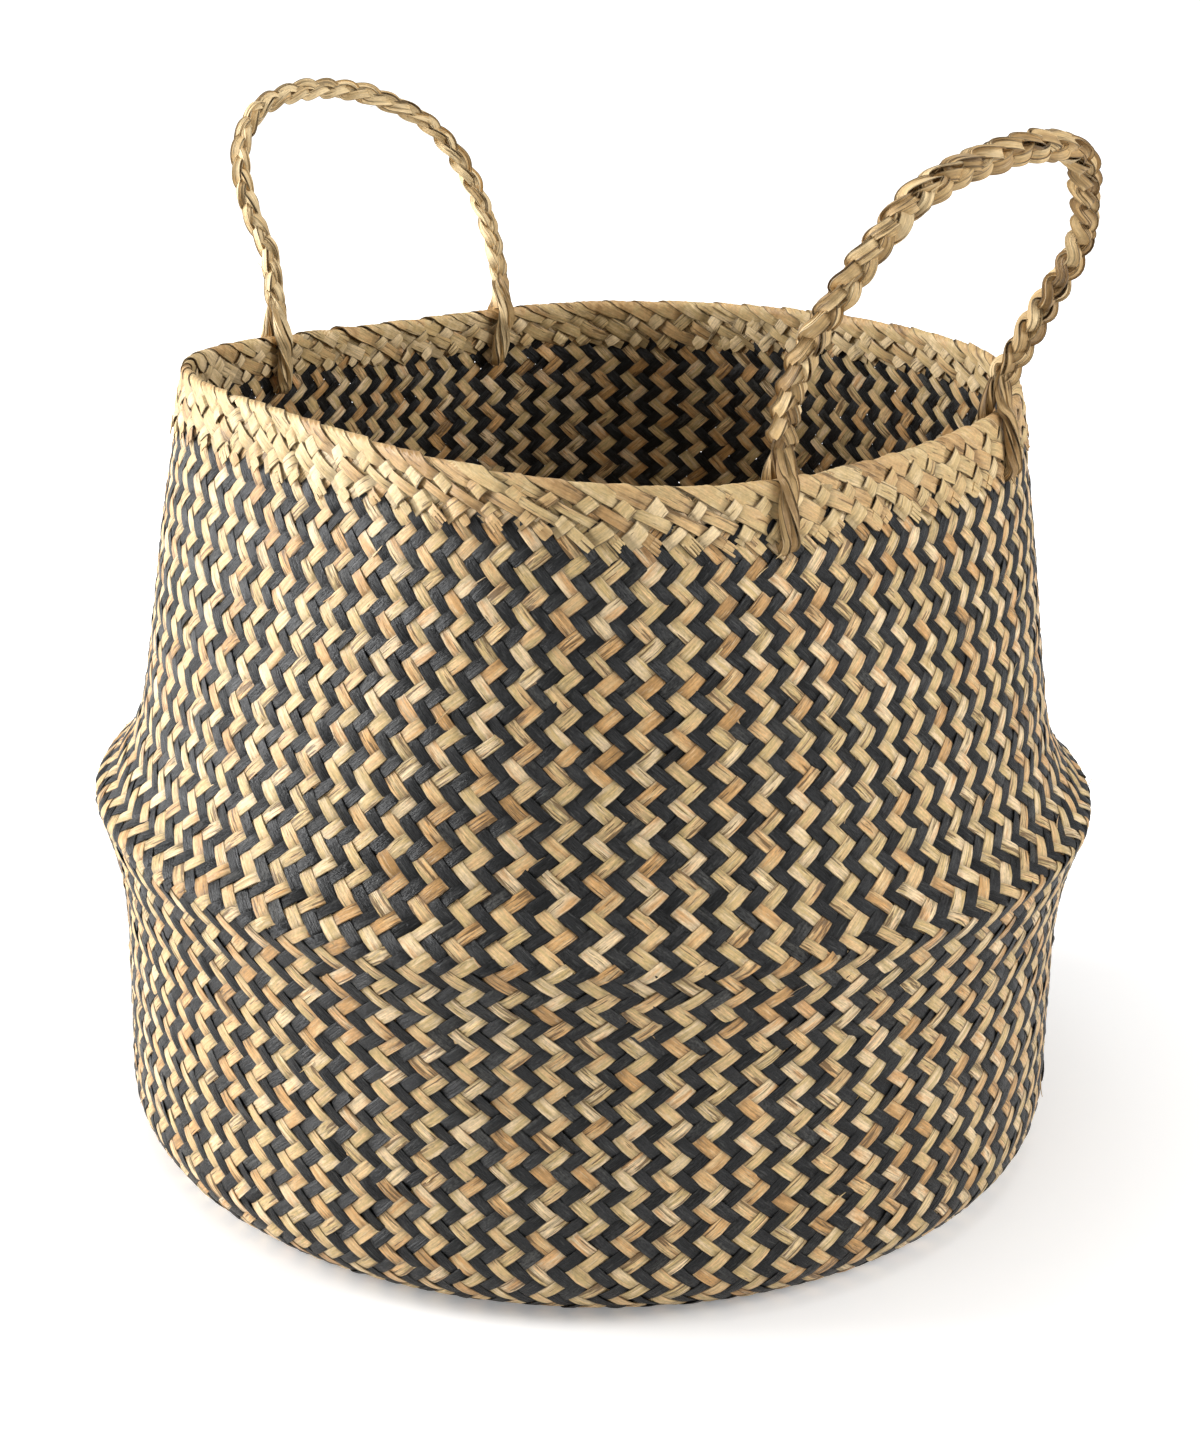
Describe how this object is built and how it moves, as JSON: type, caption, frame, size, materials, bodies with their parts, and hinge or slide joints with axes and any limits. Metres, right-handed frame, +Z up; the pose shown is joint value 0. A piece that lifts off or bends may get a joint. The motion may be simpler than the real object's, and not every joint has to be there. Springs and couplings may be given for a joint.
{
  "type": "belly basket",
  "caption": "Open plaited basket with a folded round belly, a folded rim band and two standing braided handles lashed through the wall.",
  "frame": {"origin": "middle of the base's underside, on the surface that the basket stands on", "axes": "+Z up through the mouth; the two handles stand at +X and -X"},
  "size_m": [0.4, 0.4, 0.4162],
  "materials": {
    "zigzag_plait": "natural straw and charcoal sedge strips in a vertical zigzag twill, matt with a faint sheen",
    "plain_plait": "natural straw sedge strips, matt with a faint sheen",
    "rope": "braided dried sedge, matt"
  },
  "bodies": {
    "lower_basket": {"base_panel": "zigzag_plait", "base_corner": "zigzag_plait", "lower_wall": "zigzag_plait", "belly_fold": "zigzag_plait"},
    "upper_basket": {"upper_wall": "zigzag_plait", "rim_band_outer": "plain_plait", "rim_band_inner": "plain_plait", "rim_edge": "plain_plait", "right_first_lashing": "rope", "right_second_lashing": "rope", "left_first_lashing": "rope", "left_second_lashing": "rope"},
    "right_handle": {"right_handle": "rope"},
    "left_handle": {"left_handle": "rope"}
  },
  "joints": [
    {"name": "belly_collapse", "type": "slide", "parent": "lower_basket", "child": "upper_basket", "axis": [0, 0, 1], "range_m": [-0.1, 0.008], "deforming": ["belly_fold"]},
    {"name": "right_handle_swing", "type": "hinge", "parent": "upper_basket", "child": "right_handle", "pos_m": [0.13973, 0.00658, 0.31628], "axis": [-0.0259, 0.9991, 0.0337], "range_deg": [-80, 55]},
    {"name": "left_handle_swing", "type": "hinge", "parent": "upper_basket", "child": "left_handle", "pos_m": [-0.13969, 0.01314, 0.3158], "axis": [-0.0511, -0.9985, 0.0202], "range_deg": [-80, 55]}
  ]
}
